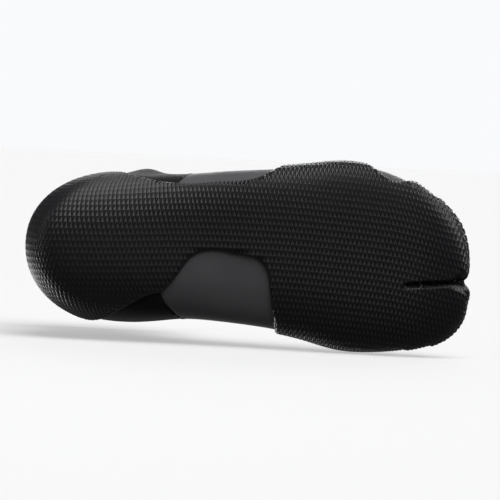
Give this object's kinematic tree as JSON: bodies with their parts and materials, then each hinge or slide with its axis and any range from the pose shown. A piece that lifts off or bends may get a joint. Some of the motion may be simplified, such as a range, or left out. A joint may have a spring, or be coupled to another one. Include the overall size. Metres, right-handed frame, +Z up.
{
  "type": "neoprene boot",
  "caption": "Ankle-high neoprene water-sports boot for the right foot, with a split toe, a textured rubber sole that wraps up the sides and an open arch.",
  "frame": {"origin": "on the ground under the middle of the boot's length and width, at the height of the tread", "axes": "+X to the toes, +Y to the wearer's left, which is the big-toe side of this right boot, +Z up the leg"},
  "size_m": [0.274, 0.1172, 0.165],
  "materials": {
    "tread_rubber": "matt black moulded rubber with a fine raised diamond pattern",
    "grey_neoprene": "smooth dark grey neoprene with a low sheen",
    "black_neoprene": "matt black knit-faced neoprene",
    "lining_jersey": "soft black stretch jersey",
    "footbed_foam": "knit-faced foam",
    "seam_tape": "smooth flexible seam tape, satin",
    "grip_band": "smooth-skin neoprene, satin",
    "binding_tape": "ribbed stretch binding",
    "loop_webbing": "woven webbing"
  },
  "bodies": {
    "foot": {"outsole": "tread_rubber", "toe_rand": "tread_rubber", "toe_cap": "tread_rubber", "sole_panel": "black_neoprene", "arch_panel": "grey_neoprene", "toe_gusset": "grey_neoprene", "vamp": "grey_neoprene", "lateral_quarter": "black_neoprene", "medial_quarter": "black_neoprene", "foot_lining": "lining_jersey", "insole": "footbed_foam", "heel_seam_tape": "seam_tape", "ankle_front": "grey_neoprene", "ankle_back": "black_neoprene"},
    "shaft": {"shaft_front": "grey_neoprene", "shaft_back": "black_neoprene", "shaft_lining": "lining_jersey", "cuff_gripper": "grip_band", "cuff_binding": "binding_tape", "side_seam_tapes": "seam_tape", "loop_patch": "loop_webbing"},
    "loop": {"pull_loop": "loop_webbing"}
  },
  "joints": [
    {"name": "ankle_flex", "type": "hinge", "parent": "foot", "child": "shaft", "pos_m": [-0.076, 0, 0.08], "axis": [0, 1, 0], "range_deg": [-28, 20], "stiffness_Nm_per_rad": 0.6, "deforming": ["ankle_front", "ankle_back"]},
    {"name": "pull_loop_swing", "type": "hinge", "parent": "shaft", "child": "loop", "pos_m": [-0.1293, 0, 0.149], "axis": [0, 1, 0], "range_deg": [0, 150]}
  ]
}
